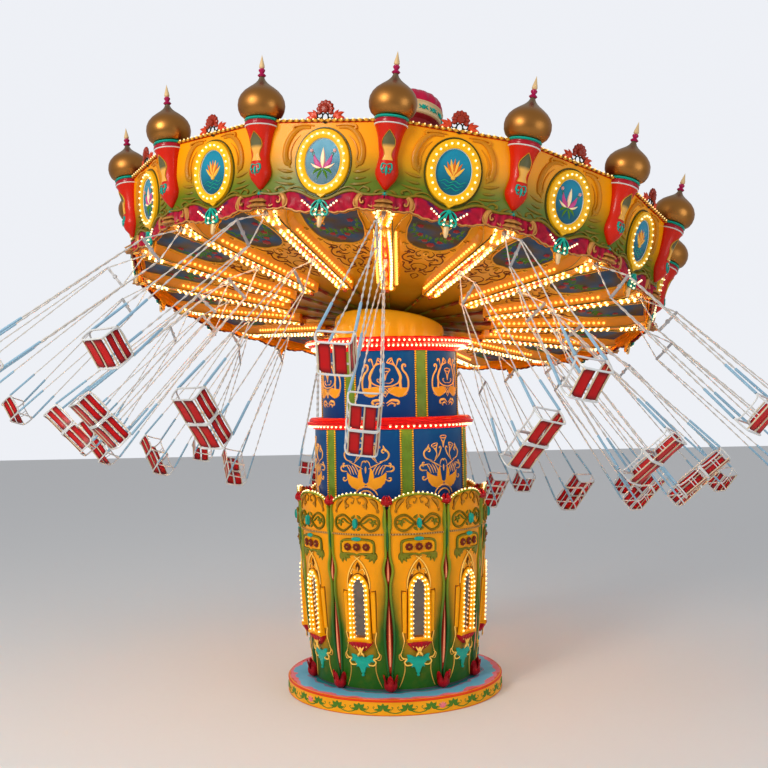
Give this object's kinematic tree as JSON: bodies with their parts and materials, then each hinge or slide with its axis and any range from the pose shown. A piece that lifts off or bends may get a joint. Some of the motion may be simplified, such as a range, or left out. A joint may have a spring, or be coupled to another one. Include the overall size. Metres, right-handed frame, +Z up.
{
  "type": "chair swing ride",
  "caption": "Fairground chair swing ride: a turning, rising tower carries a tilting, spinning canopy with rings of hanging chairs.",
  "frame": {"origin": "centre of the plinth underside, on the ground", "axes": "+Z up the tower axis; -Y is the front that the picture shows; +X is to the right of a viewer in front"},
  "size_m": [16.5833, 16.455, 12.4249],
  "materials": {
    "plinth": "satin",
    "steel": "satin",
    "orange": "gloss",
    "pink": "gloss",
    "blue": "gloss",
    "red": "gloss",
    "yellow": "gloss",
    "bronze": "satin",
    "olive": "gloss",
    "flame": "gloss",
    "burgundy": "satin",
    "cream": "matte",
    "chair": "gloss"
  },
  "bodies": {
    "base": {"plinth": "plinth"},
    "tower": {"turntable": "steel", "lift_mast": "steel", "barrel_panel_1": "orange", "barrel_panel_2": "orange", "barrel_panel_3": "orange", "barrel_panel_4": "orange", "barrel_panel_5": "orange", "barrel_panel_6": "orange", "barrel_panel_7": "orange", "barrel_panel_8": "orange", "barrel_panel_9": "orange", "barrel_panel_10": "orange", "barrel_liner": "pink"},
    "column": {"lower_tier": "blue", "mid_ring": "red", "upper_tier": "blue", "top_ring": "red", "tilt_yoke": "steel"},
    "head": {"tilt_head": "yellow"},
    "canopy": {"canopy_hub": "steel", "ceiling": "bronze", "sweep_arms": "yellow", "rounding_boards": "olive", "columns": "flame", "valance": "burgundy", "roof": "cream", "crown": "burgundy"},
    "outer_chair_1": {"outer_chair_1": "chair"},
    "outer_chair_2": {"outer_chair_2": "chair"},
    "outer_chair_3": {"outer_chair_3": "chair"},
    "outer_chair_4": {"outer_chair_4": "chair"},
    "outer_chair_5": {"outer_chair_5": "chair"},
    "outer_chair_6": {"outer_chair_6": "chair"},
    "outer_chair_7": {"outer_chair_7": "chair"},
    "outer_chair_8": {"outer_chair_8": "chair"},
    "outer_chair_9": {"outer_chair_9": "chair"},
    "outer_chair_10": {"outer_chair_10": "chair"},
    "outer_chair_11": {"outer_chair_11": "chair"},
    "outer_chair_12": {"outer_chair_12": "chair"},
    "outer_chair_13": {"outer_chair_13": "chair"},
    "outer_chair_14": {"outer_chair_14": "chair"},
    "outer_chair_15": {"outer_chair_15": "chair"},
    "outer_chair_16": {"outer_chair_16": "chair"},
    "inner_chair_1": {"inner_chair_1": "chair"},
    "inner_chair_2": {"inner_chair_2": "chair"},
    "inner_chair_3": {"inner_chair_3": "chair"},
    "inner_chair_4": {"inner_chair_4": "chair"},
    "inner_chair_5": {"inner_chair_5": "chair"},
    "inner_chair_6": {"inner_chair_6": "chair"},
    "inner_chair_7": {"inner_chair_7": "chair"},
    "inner_chair_8": {"inner_chair_8": "chair"},
    "inner_chair_9": {"inner_chair_9": "chair"},
    "inner_chair_10": {"inner_chair_10": "chair"},
    "inner_chair_11": {"inner_chair_11": "chair"},
    "inner_chair_12": {"inner_chair_12": "chair"},
    "inner_chair_13": {"inner_chair_13": "chair"},
    "inner_chair_14": {"inner_chair_14": "chair"},
    "inner_chair_15": {"inner_chair_15": "chair"},
    "inner_chair_16": {"inner_chair_16": "chair"}
  },
  "joints": [
    {"name": "tower_spin", "type": "hinge", "parent": "base", "child": "tower", "pos_m": [0, 0, 0.2933], "axis": [0, 0, 1], "continuous": true},
    {"name": "tower_lift", "type": "slide", "parent": "tower", "child": "column", "axis": [0, 0, 1], "range_m": [-2.8, 0]},
    {"name": "canopy_tilt", "type": "hinge", "parent": "column", "child": "head", "pos_m": [0, 0, 7.099], "axis": [-0.8517, 0.524, 0], "range_deg": [-13.18, 0]},
    {"name": "canopy_spin", "type": "hinge", "parent": "head", "child": "canopy", "pos_m": [0, 0, 7.099], "axis": [0.1195, 0.1942, 0.9737], "continuous": true},
    {"name": "outer_swing_1", "type": "hinge", "parent": "canopy", "child": "outer_chair_1", "pos_m": [-0.0403, -4.84628, 8.71456], "axis": [-0.9874, 0.1253, 0.0962], "range_deg": [-42.84, 6]},
    {"name": "outer_swing_2", "type": "hinge", "parent": "canopy", "child": "outer_chair_2", "pos_m": [1.89427, -4.55699, 8.41947], "axis": [-0.928, -0.3268, 0.1791], "range_deg": [-44.54, 6]},
    {"name": "outer_swing_3", "type": "hinge", "parent": "canopy", "child": "outer_chair_3", "pos_m": [3.55186, -3.5554, 8.0163], "axis": [-0.6952, -0.6838, 0.2217], "range_deg": [-46.83, 6]},
    {"name": "outer_swing_4", "type": "hinge", "parent": "canopy", "child": "outer_chair_4", "pos_m": [4.68012, -1.994, 7.56642], "axis": [-0.3681, -0.9021, 0.2251], "range_deg": [-49.17, 6]},
    {"name": "outer_swing_5", "type": "hinge", "parent": "canopy", "child": "outer_chair_5", "pos_m": [5.10728, -0.11049, 7.13833], "axis": [-0.0127, -0.9803, 0.1971], "range_deg": [-51.19, 6]},
    {"name": "outer_swing_6", "type": "hinge", "parent": "canopy", "child": "outer_chair_6", "pos_m": [4.7683, 1.80838, 6.79719], "axis": [0.3253, -0.9342, 0.1464], "range_deg": [-52.71, 6]},
    {"name": "outer_swing_7", "type": "hinge", "parent": "canopy", "child": "outer_chair_7", "pos_m": [3.7148, 3.47048, 6.59495], "axis": [0.6146, -0.7846, 0.0811], "range_deg": [-53.67, 6]},
    {"name": "outer_swing_8", "type": "hinge", "parent": "canopy", "child": "outer_chair_8", "pos_m": [2.10716, 4.62277, 6.56238], "axis": [0.8327, -0.5537, 0.0083], "range_deg": [-54.03, 6]},
    {"name": "outer_swing_9", "type": "hinge", "parent": "canopy", "child": "outer_chair_9", "pos_m": [0.19013, 5.08982, 6.70446], "axis": [0.9621, -0.2646, -0.0653], "range_deg": [-53.8, 6]},
    {"name": "outer_swing_10", "type": "hinge", "parent": "canopy", "child": "outer_chair_10", "pos_m": [-1.74444, 4.80053, 6.99954], "axis": [0.9895, 0.0574, -0.1329], "range_deg": [-52.98, 6]},
    {"name": "outer_swing_11", "type": "hinge", "parent": "canopy", "child": "outer_chair_11", "pos_m": [-3.40204, 3.79894, 7.40272], "axis": [0.9043, 0.3836, -0.1875], "range_deg": [-51.58, 6]},
    {"name": "outer_swing_12", "type": "hinge", "parent": "canopy", "child": "outer_chair_12", "pos_m": [-4.5303, 2.23754, 7.85259], "axis": [0.7007, 0.6783, -0.2213], "range_deg": [-49.66, 6]},
    {"name": "outer_swing_13", "type": "hinge", "parent": "canopy", "child": "outer_chair_13", "pos_m": [-4.95745, 0.35403, 8.28069], "axis": [0.3818, 0.8963, -0.2256], "range_deg": [-47.37, 6]},
    {"name": "outer_swing_14", "type": "hinge", "parent": "canopy", "child": "outer_chair_14", "pos_m": [-4.61848, -1.56484, 8.62183], "axis": [-0.0284, 0.981, -0.1922], "range_deg": [-45.02, 6]},
    {"name": "outer_swing_15", "type": "hinge", "parent": "canopy", "child": "outer_chair_15", "pos_m": [-3.56498, -3.22694, 8.82407], "axis": [-0.4662, 0.8768, -0.1177], "range_deg": [-43.13, 6]},
    {"name": "outer_swing_16", "type": "hinge", "parent": "canopy", "child": "outer_chair_16", "pos_m": [-1.95734, -4.37923, 8.85663], "axis": [-0.8224, 0.5688, -0.0125], "range_deg": [-42.3, 6]},
    {"name": "inner_swing_1", "type": "hinge", "parent": "canopy", "child": "inner_chair_1", "pos_m": [-0.02769, -3.25104, 8.17705], "axis": [-0.9927, 0.0095, 0.1199], "range_deg": [-36.49, 5]},
    {"name": "inner_swing_2", "type": "hinge", "parent": "canopy", "child": "inner_chair_2", "pos_m": [1.26966, -3.05704, 7.97916], "axis": [-0.876, -0.4409, 0.1954], "range_deg": [-38.83, 5]},
    {"name": "inner_swing_3", "type": "hinge", "parent": "canopy", "child": "inner_chair_3", "pos_m": [2.38126, -2.38536, 7.70879], "axis": [-0.6036, -0.7644, 0.2265], "range_deg": [-41.71, 5]},
    {"name": "inner_swing_4", "type": "hinge", "parent": "canopy", "child": "inner_chair_4", "pos_m": [3.13789, -1.33827, 7.40709], "axis": [-0.2633, -0.9394, 0.2197], "range_deg": [-44.49, 5]},
    {"name": "inner_swing_5", "type": "hinge", "parent": "canopy", "child": "inner_chair_5", "pos_m": [3.42434, -0.07517, 7.12001], "axis": [0.0849, -0.9791, 0.1849], "range_deg": [-46.8, 5]},
    {"name": "inner_swing_6", "type": "hinge", "parent": "canopy", "child": "inner_chair_6", "pos_m": [3.19702, 1.21165, 6.89124], "axis": [0.4039, -0.9054, 0.131], "range_deg": [-48.47, 5]},
    {"name": "inner_swing_7", "type": "hinge", "parent": "canopy", "child": "inner_chair_7", "pos_m": [2.49053, 2.32627, 6.75561], "axis": [0.6695, -0.7399, 0.0654], "range_deg": [-49.45, 5]},
    {"name": "inner_swing_8", "type": "hinge", "parent": "canopy", "child": "inner_chair_8", "pos_m": [1.41243, 3.09901, 6.73377], "axis": [0.864, -0.5034, -0.0056], "range_deg": [-49.75, 5]},
    {"name": "inner_swing_9", "type": "hinge", "parent": "canopy", "child": "inner_chair_9", "pos_m": [0.12684, 3.41222, 6.82905], "axis": [0.9732, -0.2168, -0.0762], "range_deg": [-49.34, 5]},
    {"name": "inner_swing_10", "type": "hinge", "parent": "canopy", "child": "inner_chair_10", "pos_m": [-1.1705, 3.21822, 7.02694], "axis": [0.9853, 0.0977, -0.1404], "range_deg": [-48.25, 5]},
    {"name": "inner_swing_11", "type": "hinge", "parent": "canopy", "child": "inner_chair_11", "pos_m": [-2.2821, 2.54654, 7.29731], "axis": [0.8898, 0.4141, -0.1918], "range_deg": [-46.48, 5]},
    {"name": "inner_swing_12", "type": "hinge", "parent": "canopy", "child": "inner_chair_12", "pos_m": [-3.03873, 1.49945, 7.599], "axis": [0.679, 0.6995, -0.2228], "range_deg": [-44.08, 5]},
    {"name": "inner_swing_13", "type": "hinge", "parent": "canopy", "child": "inner_chair_13", "pos_m": [-3.32518, 0.23635, 7.88609], "axis": [0.3518, 0.9088, -0.2244], "range_deg": [-41.26, 5]},
    {"name": "inner_swing_14", "type": "hinge", "parent": "canopy", "child": "inner_chair_14", "pos_m": [-3.09786, -1.05047, 8.11486], "axis": [-0.072, 0.9798, -0.1866], "range_deg": [-38.41, 5]},
    {"name": "inner_swing_15", "type": "hinge", "parent": "canopy", "child": "inner_chair_15", "pos_m": [-2.39137, -2.16509, 8.25049], "axis": [-0.5237, 0.8455, -0.1044], "range_deg": [-36.23, 5]},
    {"name": "inner_swing_16", "type": "hinge", "parent": "canopy", "child": "inner_chair_16", "pos_m": [-1.31327, -2.93783, 8.27232], "axis": [-0.8718, 0.4898, 0.0093], "range_deg": [-35.49, 5]}
  ],
  "couplings": [
    {"joint": "outer_swing_1", "follows": "inner_swing_1", "ratio": 1.174},
    {"joint": "outer_swing_2", "follows": "inner_swing_2", "ratio": 1.147},
    {"joint": "outer_swing_3", "follows": "inner_swing_3", "ratio": 1.1227},
    {"joint": "outer_swing_4", "follows": "inner_swing_4", "ratio": 1.1052},
    {"joint": "outer_swing_5", "follows": "inner_swing_5", "ratio": 1.0938},
    {"joint": "outer_swing_6", "follows": "inner_swing_6", "ratio": 1.0875},
    {"joint": "outer_swing_7", "follows": "inner_swing_7", "ratio": 1.0853},
    {"joint": "outer_swing_8", "follows": "inner_swing_8", "ratio": 1.086},
    {"joint": "outer_swing_9", "follows": "inner_swing_9", "ratio": 1.0904},
    {"joint": "outer_swing_10", "follows": "inner_swing_10", "ratio": 1.098},
    {"joint": "outer_swing_11", "follows": "inner_swing_11", "ratio": 1.1097},
    {"joint": "outer_swing_12", "follows": "inner_swing_12", "ratio": 1.1266},
    {"joint": "outer_swing_13", "follows": "inner_swing_13", "ratio": 1.1481},
    {"joint": "outer_swing_14", "follows": "inner_swing_14", "ratio": 1.1721},
    {"joint": "outer_swing_15", "follows": "inner_swing_15", "ratio": 1.1904},
    {"joint": "outer_swing_16", "follows": "inner_swing_16", "ratio": 1.1919}
  ]
}
